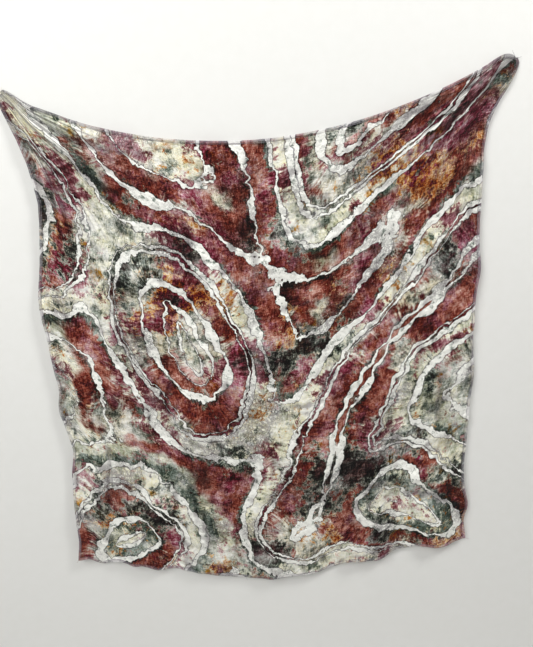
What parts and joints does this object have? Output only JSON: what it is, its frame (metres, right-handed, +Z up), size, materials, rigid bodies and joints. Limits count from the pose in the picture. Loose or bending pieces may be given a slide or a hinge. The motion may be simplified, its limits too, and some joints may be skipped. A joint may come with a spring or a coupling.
{
  "type": "ice dyed swaddle blanket",
  "caption": "Square blanket of crinkled cotton gauze with a narrow overlocked hem, ice dyed in veined bands, hung flat to a wall by its upper corners.",
  "frame": {"origin": "middle of the top hem, halfway through the cloth's thickness", "axes": "+X to the right seen from the front, +Y towards the wall that it hangs on, +Z up"},
  "size_m": [1.1443, 0.0253, 1.291],
  "materials": {
    "dyed_gauze": "matt crinkled cotton gauze, ice dyed in rust, wine, slate and cream with white veins"
  },
  "bodies": {
    "root": {"swaddle_cloth": "dyed_gauze"}
  },
  "joints": []
}
